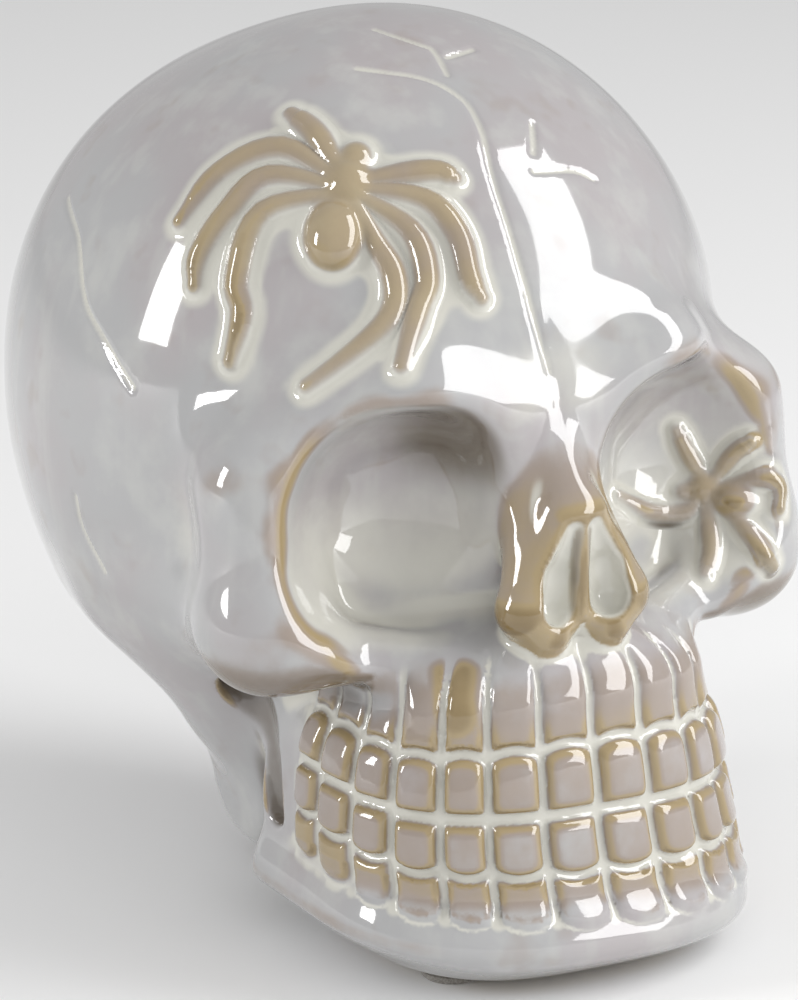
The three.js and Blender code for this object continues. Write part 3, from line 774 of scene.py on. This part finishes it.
# Spans of place, in mm, along one axis of a half of the face
LOBE_TOP_SPAN = (82, 97)
CHEEK_LOW_SPAN = (44, 52)
CHEEK_HIGH_SPAN = (64, 74)
CHEEK_SIDE_SPAN = (22, 32)
CHEEK_REAR_SPAN = (-44, -24)
MOLAR_ROOT_SPAN = (43, 49)
MOLAR_FRONT_SPAN = (-60, -48)
BETWEEN_BROWS_SPAN = (5, 16)
BETWEEN_BROWS_LOW_SPAN = (92, 98)
BETWEEN_BROWS_HIGH_SPAN = (103, 112)
BETWEEN_BROWS_FRONT_SPAN = (50, 56)
FAR_SIDE_SPAN = (-3, 3)

# Spans of shares: of half a socket, of a tooth's height or relief, of free room and of slope
BROW_UP_SPAN = (0.5, 0.8)
BROW_OUT_SPAN = (-0.1, 0.6)
CREST_OUT_SPAN = (0.2, 0.7)
SOCKET_FLOOR_SPAN = (-0.5, 0.5)
SHADED_CORNER_UP_SPAN = (-0.1, 0.7)
SHADED_CORNER_IN_SPAN = (-0.1, 0.9)
BY_BITE_SPAN = (1, 1.7)
RELIEF_SPAN = (0.1, 0.6)
TOOTH_RIM_SPAN = (0.8, 0.99)
TOOTH_GROOVE_SPAN = (0.02, 0.5)
ROOM_SPAN = (0.15, 0.75)
DOWN_SPAN = (0, 0.6)
UP_SPAN = (0.1, 0.7)


def strongest(*layers):
    return np.maximum.reduce(layers)


def bend(form, p, normals, radius):
    """Mean fall of the surface round each point, positive on ridges and negative in grooves."""
    side = np.cross(normals, np.where(np.abs(normals[:, 2:]) < 0.8, [[0, 0, 1]], [[1, 0, 0]]))
    side = side / np.linalg.norm(side, axis=1, keepdims=True)
    other = np.cross(normals, side)
    total = np.zeros(len(p))
    for turn in np.arange(BEND_PLACES) * 2 * math.pi / BEND_PLACES:
        total += form(p + radius * (math.cos(turn) * side + math.sin(turn) * other))
    return total / (BEND_PLACES * radius)


def in_mouth(q):
    """Where the skin is the toothed part of the dental arch: 1 on it and 0 beyond its edges."""
    on_arch = within(np.abs(arch(q) - relief_over_arch(q)), ARCH_SPAN)
    rows = past(q[:, 2] - BITE_Z, ROW_FOOT_SPAN) * within(q[:, 2] - ROOT_TOP_Z, ROOT_HEAD_SPAN)
    return on_arch * rows * within(along_arch(q) - tooth_ends[-1], LAST_TOOTH_SPAN)


class Skin:
    """Where each point of a skin lies, as the glaze meets it."""

    def __init__(self, points, normals):
        q = mirrored(points)
        self.x, self.y, self.z = q.T
        # Weakens the painted shade in the far socket's corner, where more light falls.
        self.to_far_side = past(points[:, 0], FAR_SIDE_SPAN)
        self.over_base = points[:, 2] - BASE_Z
        self.facing_down = past(-normals[:, 2], DOWN_SPAN)
        self.facing_up = past(normals[:, 2], UP_SPAN)
        self.fine = bend(relief_form, points, normals, FINE_REACH)
        self.middle = bend(relief_form, points, normals, MIDDLE_REACH)
        self.broad = bend(skull_form, points, normals, BROAD_REACH)
        self.room = skull_form(points + ROOM_REACH * normals) / ROOM_REACH
        self.crack = crack_at(points)
        self.find_spiders(points)
        self.find_nose(q)
        self.find_socket(q)
        self.find_teeth(q)
        self.find_cheek_shade()
        self.in_slot = within(bone(q, SLOT_TOP, SLOT_FOOT), SLOT_SPAN)
        stain = within(bone(points, STAIN_TOP, STAIN_FOOT), STAIN_SPAN)
        self.stain = stain * past(self.relief, RELIEF_SPAN)

    def find_spiders(self, points):
        away = np.minimum(forehead_spider.form(points), socket_spider.form(points))
        self.on_spider = within(away, SPIDER_SPAN)
        self.halo = within(away, HALO_SPAN)

    def find_nose(self, q):
        away = nose(q)
        self.on_nose = within(away, NOSE_SPAN)
        self.off_nose = past(away, BESIDE_NOSE_SPAN)
        self.in_nostril = within(nostril(q), NOSTRIL_SPAN)
        self.nostril_rim = within(nostril(q), NOSTRIL_RIM_SPAN)
        self.septum = self.in_nostril * within(bone(q, SEPTUM_TOP, SEPTUM_FOOT), SEPTUM_SPAN)

    def find_socket(self, q):
        away = socket(q)
        outward = (self.x - SOCKET_CENTRE[0]) / (SOCKET_WIDTH / 2)
        upward = (self.z - SOCKET_CENTRE[2]) / (SOCKET_HEIGHT / 2)
        self.in_socket = within(away, SOCKET_SPAN) * (1 - self.on_nose) * (1 - self.on_spider)
        self.up_socket = past(upward, SOCKET_FLOOR_SPAN)
        self.brow = past(upward, BROW_UP_SPAN) * within(outward, BROW_OUT_SPAN)
        crest = past(self.middle, CREST_BEND_SPAN) * within(away, CREST_SPAN)
        self.crest = crest * past(outward, CREST_OUT_SPAN) * (1 - self.on_spider)
        # Painted shade in each socket's inner top corner.
        self.corner = past(upward, SHADED_CORNER_UP_SPAN) * within(away, SHADED_CORNER_SPAN)
        self.corner *= 0.15 + 1.05 * past(-outward, SHADED_CORNER_IN_SPAN)

    def find_teeth(self, q):
        from_bite = np.abs(self.z - BITE_Z)
        self.teeth = in_mouth(q)
        self.on_panel = from_bite > UPPER_FRONT_TOOTH
        self.by_bite = within(from_bite / UPPER_FRONT_TOOTH, BY_BITE_SPAN)
        self.relief = relief_over_arch(q) / np.where(self.on_panel, ROOT_RELIEF, TOOTH_RELIEF)
        self.molar_roots = past(self.z, MOLAR_ROOT_SPAN) * past(self.y, MOLAR_FRONT_SPAN)

    def find_cheek_shade(self):
        # Painted shade on the downward faces of the cheekbones, laid on as tan and as brown.
        rise = past(self.z, CHEEK_LOW_SPAN) * within(self.z, CHEEK_HIGH_SPAN)
        on_cheek = rise * past(self.x, CHEEK_SIDE_SPAN) * within(self.y, CHEEK_REAR_SPAN)
        self.shade_under_cheek = self.facing_down * on_cheek * (1 - self.teeth)


def thin_and_shade_layer(skin):
    """Thin glaze on edges, then teeth, nose, spiders and the foot, with painted shade added as more tan
    where they face down and under the cheeks, and painted light as less tan on edges that face up.
    """
    edge = strongest(0.75 * past(skin.fine, FINE_EDGE_SPAN),
                     past(skin.middle, RIDGE_SPAN) * (1 - 0.7 * skin.brow))
    # Painted shade and light: more tan on edges that face down, less on those that face up.
    edge = edge * (1 + 0.4 * skin.facing_down - 0.4 * skin.facing_up)
    edge = edge * (1 - skin.teeth) * past(skin.over_base, CHIN_SPAN)
    # Tooth rims, darker where they face down as painted shade.
    tooth_rim = within(skin.relief, TOOTH_RIM_SPAN) * (0.38 + 0.3 * skin.facing_down)
    tooth = 0.29 + skin.by_bite * (tooth_rim + 0.16 * skin.on_panel)
    tooth = tooth * skin.teeth * past(skin.relief, RELIEF_SPAN)
    # Nose lobes, darker where they face down as painted shade.
    lobes = 0.5 + 0.25 * skin.facing_down + 0.25 * skin.nostril_rim
    lobes = lobes * skin.on_nose * within(skin.z, LOBE_TOP_SPAN)
    # Spiders, darker where they face down as painted shade.
    spider = skin.on_spider * (0.6 + 0.25 * skin.facing_down)
    foot = within(skin.over_base, FOOT_SPAN)
    # The tan under the cheeks is painted shade.
    return strongest(edge, tooth, lobes, spider, foot,
                     0.68 * skin.crest, 0.4 * skin.shade_under_cheek, 0.9 * skin.stain)


def pool_and_light_layer(skin):
    """Pooled glaze: hollows, grooves, sockets, between the brows, nostrils, cracks, round the spiders. In
    the sockets it also stands for painted light reflected in the bowl, with less of it towards the top as
    painted shade under the brow.
    """
    hollow = strongest(past(-skin.fine, FINE_GROOVE_SPAN), 0.9 * past(-skin.middle, MIDDLE_GROOVE_SPAN),
                       0.6 * past(-skin.broad, BROAD_HOLLOW_SPAN))
    groove = 0.85 * skin.teeth * within(skin.relief, TOOTH_GROOVE_SPAN)
    pool_and_light = strongest(hollow * (1 - skin.teeth), groove)
    # Sockets: cream of pooled glaze with painted light from the bowl's reflections, less of it towards the
    # top as painted shade under the brow.
    pool_and_light = pool_and_light + skin.in_socket * (0.65 - 0.45 * skin.up_socket - pool_and_light)
    rise = past(skin.z, BETWEEN_BROWS_LOW_SPAN) * within(skin.z, BETWEEN_BROWS_HIGH_SPAN)
    brows = rise * within(skin.x, BETWEEN_BROWS_SPAN) * past(-skin.y, BETWEEN_BROWS_FRONT_SPAN)
    pool_and_light = strongest(pool_and_light, 0.9 * skin.halo, 0.5 * brows)
    for bare in (skin.crest, skin.on_spider, skin.in_slot, skin.stain):
        pool_and_light = pool_and_light * (1 - 0.85 * bare)
    return strongest(pool_and_light, 0.8 * skin.crack, 0.8 * skin.in_nostril)


def painted_shade_layer(skin):
    """Painted shade in brown: under overhangs, in narrow gaps, in the sockets' inner corners, beside the
    septum, in the slots and under the cheeks.
    """
    # Painted shade under overhangs and in narrow gaps where there is little room.
    shade_under_overhangs = skin.facing_down * past(-skin.broad, OVERHANG_SHADE_SPAN) * (1 - skin.in_socket)
    shade_in_gaps = within(skin.room, ROOM_SPAN) * skin.off_nose * (1 - skin.teeth * (1 - skin.molar_roots))
    # The corner's painted shade is weaker on the far side, where more light falls.
    corner = skin.corner * (1 - 0.6 * skin.to_far_side)
    # Painted shade also beside the septum, in the slots and under the cheeks.
    painted_shade = strongest(shade_under_overhangs, shade_in_gaps, corner,
                     0.7 * skin.septum, 0.75 * skin.in_slot, 0.65 * skin.shade_under_cheek)
    return painted_shade * (1 - 0.85 * skin.on_spider)


def paint(result, points, normals):
    skin = Skin(points, normals)
    # The third layer is painted shade, in brown.
    painted_shade = painted_shade_layer(skin)
    layers = {"thin_and_shade": thin_and_shade_layer(skin), "pool_and_light": pool_and_light_layer(skin) * (1 - 0.6 * painted_shade), "painted_shade": painted_shade}
    for name, values in layers.items():
        attribute = result.data.attributes.new(name, "FLOAT", "POINT")
        attribute.data.foreach_set("value", values.astype(np.float32))


# Materials: colours of the glaze, and how many waves its patterns have in a metre
GREY = (0.375, 0.375, 0.378, 1)
LILAC = (0.37, 0.345, 0.35, 1)
CLOUD = (0.46, 0.46, 0.445, 1)
MAUVE = (0.295, 0.246, 0.212, 1)
TAN = (0.325, 0.25, 0.135, 1)
OCHRE = (0.2, 0.14, 0.06, 1)
CREAM = (0.56, 0.55, 0.495, 1)
# Brown of the painted shade in overhangs, gaps, corners and slots.
SHADE_BROWN = (0.1, 0.075, 0.048, 1)
PATCHES = 24
CLOUDS = 75
BLUSHES = 120
STREAKS = 160
STREAK_STRETCH = (1, 1, 0.12)
RIPPLES = 150
RIPPLE_HEIGHT = 0.05 * MM
DRIFT = 0.5
FELT_DARK = (0.2, 0.185, 0.165, 1)
FELT_PALE = (0.36, 0.34, 0.31, 1)
FIBRES = 2600
FIBRE_HEIGHT = 0.3 * MM


class Nodes:
    """Short calls for the nodes of one material."""

    def __init__(self, name):
        self.material = bpy.data.materials.new(name)
        self.material.use_nodes = True
        self.tree = self.material.node_tree
        self.shader = self.tree.nodes["Principled BSDF"]
        self.place = self.tree.nodes.new("ShaderNodeTexCoord").outputs["Object"]

    def put(self, value, socket):
        if isinstance(value, bpy.types.NodeSocket):
            self.tree.links.new(value, socket)
        else:
            socket.default_value = value

    def noise(self, scale, detail=3, roughness=0.55, stretch=(1, 1, 1)):
        place = self.tree.nodes.new("ShaderNodeMapping")
        place.inputs["Scale"].default_value = stretch
        self.tree.links.new(self.place, place.inputs["Vector"])
        made = self.tree.nodes.new("ShaderNodeTexNoise")
        self.tree.links.new(place.outputs["Vector"], made.inputs["Vector"])
        made.inputs["Scale"].default_value = scale
        made.inputs["Detail"].default_value = detail
        made.inputs["Roughness"].default_value = roughness
        return made.outputs["Fac"]

    def attribute(self, name):
        made = self.tree.nodes.new("ShaderNodeAttribute")
        made.attribute_name = name
        return made.outputs["Fac"]

    def math(self, operation, a, b):
        made = self.tree.nodes.new("ShaderNodeMath")
        made.operation = operation
        self.put(a, made.inputs[0])
        self.put(b, made.inputs[1])
        return made.outputs["Value"]

    def ramp(self, value, low, high, start=0.0, end=1.0):
        made = self.tree.nodes.new("ShaderNodeMapRange")
        made.interpolation_type = "SMOOTHSTEP"
        self.put(value, made.inputs["Value"])
        for name, number in (("From Min", low), ("From Max", high), ("To Min", start), ("To Max", end)):
            made.inputs[name].default_value = number
        return made.outputs["Result"]

    def mix(self, share, a, b):
        made = self.tree.nodes.new("ShaderNodeMix")
        made.data_type = "RGBA"
        self.put(share, made.inputs["Factor"])
        self.put(a, made.inputs[6])
        self.put(b, made.inputs[7])
        return made.outputs[2]

    def bump(self, height, distance):
        made = self.tree.nodes.new("ShaderNodeBump")
        made.inputs["Distance"].default_value = distance
        self.tree.links.new(height, made.inputs["Height"])
        self.tree.links.new(made.outputs["Normal"], self.shader.inputs["Normal"])


def glaze_material():
    nodes = Nodes("glaze")
    patches = nodes.noise(PATCHES)
    clouds = nodes.noise(CLOUDS, 4)
    streaks = nodes.noise(STREAKS, 3, 0.5, STREAK_STRETCH)
    blushes = nodes.noise(BLUSHES, 2)
    body = nodes.mix(nodes.ramp(patches, 0.42, 0.62), GREY, LILAC)
    body = nodes.mix(nodes.ramp(clouds, 0.48, 0.72, 0, 0.55), body, CLOUD)
    body = nodes.mix(nodes.ramp(streaks, 0.5, 0.72, 0, 0.4), body, CLOUD)
    body = nodes.mix(nodes.ramp(blushes, 0.58, 0.76, 0, 0.35), body, MAUVE)
    drift = nodes.math("MULTIPLY", nodes.math("SUBTRACT", clouds, 0.5), DRIFT)
    thin_and_shade = nodes.math("ADD", nodes.attribute("thin_and_shade"), drift)
    pool_and_light = nodes.math("ADD", nodes.attribute("pool_and_light"), drift)
    painted_shade = nodes.math("ADD", nodes.attribute("painted_shade"), drift)
    colour = nodes.mix(nodes.ramp(thin_and_shade, 0.08, 0.36), body, MAUVE)
    colour = nodes.mix(nodes.ramp(thin_and_shade, 0.32, 0.66), colour, TAN)
    colour = nodes.mix(nodes.ramp(thin_and_shade, 0.62, 1.1), colour, OCHRE)
    colour = nodes.mix(nodes.ramp(pool_and_light, 0.12, 0.85), colour, CREAM)
    # Painted shade, in brown.
    colour = nodes.mix(nodes.ramp(painted_shade, 0.1, 0.95, 0, 0.85), colour, SHADE_BROWN)
    nodes.put(colour, nodes.shader.inputs["Base Color"])
    nodes.shader.inputs["Roughness"].default_value = 0.07
    nodes.shader.inputs["IOR"].default_value = 1.55
    nodes.shader.inputs["Coat Weight"].default_value = 0.7
    nodes.shader.inputs["Coat Roughness"].default_value = 0.02
    nodes.bump(nodes.noise(RIPPLES, 1), RIPPLE_HEIGHT)
    return nodes.material


def felt_material():
    nodes = Nodes("felt")
    fibres = nodes.noise(FIBRES, 4, 0.7)
    colour = nodes.mix(nodes.ramp(fibres, 0.35, 0.7), FELT_DARK, FELT_PALE)
    nodes.put(colour, nodes.shader.inputs["Base Color"])
    nodes.shader.inputs["Roughness"].default_value = 0.95
    nodes.shader.inputs["Sheen Weight"].default_value = 0.3
    nodes.bump(fibres, FIBRE_HEIGHT)
    return nodes.material


glaze = glaze_material()
felt = felt_material()


# Skull: the outer skin, hollowed through a drain hole


def cut(result, tool):
    change = result.modifiers.new("cut", "BOOLEAN")
    change.operation = "DIFFERENCE"
    change.solver = "MANIFOLD"
    change.object = tool
    shaped = bpy.data.meshes.new_from_object(result.evaluated_get(bpy.context.evaluated_depsgraph_get()))
    result.modifiers.clear()
    result.data = shaped
    bpy.data.objects.remove(tool)


def tool_from(mesh):
    result = bpy.data.objects.new("tool", mesh)
    bpy.context.collection.objects.link(result)
    return result


def cylinder(radius, low, high):
    shape = bmesh.new()
    bmesh.ops.create_cone(shape, cap_ends=True, segments=SIDES, radius1=radius, radius2=radius,
                          depth=high - low)
    bmesh.ops.translate(shape, verts=shape.verts, vec=(0, 0, (low + high) / 2))
    return shape


def mesh_from(points, quads):
    mesh = bpy.data.meshes.new("net")
    mesh.from_pydata(in_frame(points), [], quads)
    return mesh


def vertices_of(result):
    places = np.empty(3 * len(result.data.vertices))
    result.data.vertices.foreach_get("co", places)
    return places.reshape(-1, 3) / MM - np.array([0, SHIFT_Y, 0])


def make_skull():
    low, high = (np.array(corner) / MM - np.array([0, SHIFT_Y, 0]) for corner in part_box("skull_shell"))
    margin = 2 * SKULL_STEP
    points, quads = net(skull_form, low - margin, high + 2 * margin, SKULL_STEP)
    result = piece("skull", settled(skull_form, points, quads, SKULL_STEP), quads, glaze)
    points, quads = net(hollow_form, low, high, CAVITY_STEP)
    cut(result, tool_from(mesh_from(settled(hollow_form, points, quads, CAVITY_STEP), quads)))
    shape = cylinder(DRAIN_DIAMETER / 2 * MM, (BASE_Z - WALL) * MM, (BASE_Z + 1.5 * WALL) * MM)
    bmesh.ops.translate(shape, verts=shape.verts, vec=(0, (DRAIN_Y + SHIFT_Y) * MM, 0))
    mesh = bpy.data.meshes.new("drain")
    shape.to_mesh(mesh)
    shape.free()
    cut(result, tool_from(mesh))
    result.data.shade_smooth()
    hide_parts("skull_shell")
    points = vertices_of(result)
    normals = normals_of(skull_form, points)
    outside = np.abs(skull_form(points)) < ON_SKIN
    away = np.minimum(forehead_spider.form(points), socket_spider.form(points))
    under_spider = 1 - smooth(away, 0, SPIDER_FILLET / 2)
    dip = CRACK_DEPTH * crack_at(points) + SPIDER_DIP * under_spider
    result.data.vertices.foreach_set("co", in_frame(points - (dip * outside)[:, None] * normals).ravel())
    paint(result, points, normals)


def make_spider(name, spider, node_name):
    def top(p):
        return join(skull_form(p), spider.form(p), SPIDER_FILLET)

    def form(p):
        skin = skull_form(p)
        away = spider.form(p)
        sink = SPIDER_SINK * past(away / SPIDER_FILLET, SKIRT_SPAN)
        surface = join(skin, away, SPIDER_FILLET) + sink
        return strongest(surface, -skin - SPIDER_ROOT, away - SKIRT_END * SPIDER_FILLET)

    points, quads = net(form, spider.seat - spider.reach, spider.seat + spider.reach, SPIDER_STEP)
    points = settled(form, points, quads, SPIDER_STEP)
    result = piece(name, points, quads, glaze)
    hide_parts(node_name)
    normals = normals_of(top, points)
    result.data.normals_split_custom_set_from_vertices(normals)
    paint(result, points, normals)


def make_pad(name):
    low, high = (Vector(corner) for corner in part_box(name))
    shape = cylinder((high.x - low.x) / 2, low.z, high.z)
    rims = [edge for edge in shape.edges if len(edge.link_faces) == 2 and edge.calc_face_angle() > 1]
    bmesh.ops.bevel(shape, geom=rims, offset=PAD_EDGE * MM, segments=3, affect="EDGES")
    middle = (low + high) / 2
    bmesh.ops.translate(shape, verts=shape.verts, vec=(middle.x, middle.y, 0))
    mesh = bpy.data.meshes.new(name)
    shape.to_mesh(mesh)
    shape.free()
    mesh.materials.append(felt)
    result = bpy.data.objects.new("felt_" + name[len("felt_pad_"):], mesh)
    bpy.context.collection.objects.link(result)
    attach(result, "root")
    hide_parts(name)


make_skull()
make_spider("spider_on_forehead", forehead_spider, "forehead_spider")
make_spider("spider_in_socket", socket_spider, "socket_spider")
for pad_name in ("front_left", "front_right", "back_left", "back_right"):
    make_pad("felt_pad_" + pad_name)


# Camera, where the photograph was taken from: a long lens, to one side and a little above
AZIMUTH = -29
ELEVATION = 16
DISTANCE = 0.8
PIXELS_PER_METRE = 5850
LOOK_Z = 0.078
LONG_SIDE = 1000
LOOK_PIXEL = (368, 425)
MIDDLE_PIXEL = (399, 500)
SENSOR = 36


def direction(azimuth, elevation):
    turn, rise = math.radians(azimuth), math.radians(elevation)
    return Vector((math.sin(turn) * math.cos(rise), -math.cos(turn) * math.cos(rise), math.sin(rise)))


def point_along(result, heading, roll=0):
    result.rotation_mode = "QUATERNION"
    turn = Quaternion((0, 0, 1), math.radians(roll))
    result.rotation_quaternion = heading.to_track_quat("-Z", "Y") @ turn
    bpy.context.collection.objects.link(result)


def make_camera():
    back = direction(AZIMUTH, ELEVATION)
    right = Vector((0, 0, 1)).cross(back).normalized()
    upward = back.cross(right)
    target = Vector((0, SHIFT_Y * MM, LOOK_Z))
    across = (MIDDLE_PIXEL[0] - LOOK_PIXEL[0]) / PIXELS_PER_METRE
    down = (MIDDLE_PIXEL[1] - LOOK_PIXEL[1]) / PIXELS_PER_METRE
    data = bpy.data.cameras.new("camera")
    data.sensor_width = SENSOR
    data.lens = SENSOR * DISTANCE * PIXELS_PER_METRE / LONG_SIDE
    camera = bpy.data.objects.new("camera", data)
    camera.location = target + back * DISTANCE
    point_along(camera, target + right * across - upward * down - camera.location)
    bpy.context.scene.camera = camera


# Floor, room and lamps
FLOOR_HALF_SIDE = 6
FLOOR_PALE = (0.86, 0.86, 0.86, 1)
ROOM_WHITE = (1, 1, 1, 1)
ROOM_STRENGTH = 0.5
LAMP_DISTANCE = 1.1


def make_floor():
    nodes = Nodes("floor")
    nodes.shader.inputs["Base Color"].default_value = FLOOR_PALE
    nodes.shader.inputs["Roughness"].default_value = 0.9
    mesh = bpy.data.meshes.new("floor")
    corners = [(x, y, 0) for x, y in ((-1, -1), (1, -1), (1, 1), (-1, 1))]
    mesh.from_pydata([Vector(corner) * FLOOR_HALF_SIDE for corner in corners], [], [(0, 1, 2, 3)])
    mesh.materials.append(nodes.material)
    floor = bpy.data.objects.new("floor", mesh)
    bpy.context.collection.objects.link(floor)


def make_room():
    world = bpy.data.worlds.new("room")
    world.use_nodes = True
    background = world.node_tree.nodes["Background"]
    background.inputs["Color"].default_value = ROOM_WHITE
    background.inputs["Strength"].default_value = ROOM_STRENGTH
    bpy.context.scene.world = world
    bpy.context.scene.view_settings.view_transform = "Standard"


def make_lamp(name, azimuth, elevation, width, height, power, roll=0, mirrored_in_glaze=True):
    """A soft lamp aimed at the skull: angles in degrees, sizes in metres, power in watts."""
    data = bpy.data.lights.new(name, "AREA")
    data.shape = "RECTANGLE"
    data.size = width
    data.size_y = height
    data.energy = power
    lamp = bpy.data.objects.new(name, data)
    lamp.visible_glossy = mirrored_in_glaze
    away = direction(azimuth, elevation)
    lamp.location = Vector((0, 0, LOOK_Z)) + away * LAMP_DISTANCE
    point_along(lamp, -away, roll)


make_camera()
make_floor()
make_room()
make_lamp("softbox_right", azimuth=48, elevation=29.5, width=0.42, height=1.45, power=11, roll=-33)
make_lamp("softbox_left", azimuth=-102, elevation=18, width=0.23, height=0.47, power=5)
make_lamp("fill", azimuth=-12, elevation=30, width=1.2, height=1.2, power=4, mirrored_in_glaze=False)
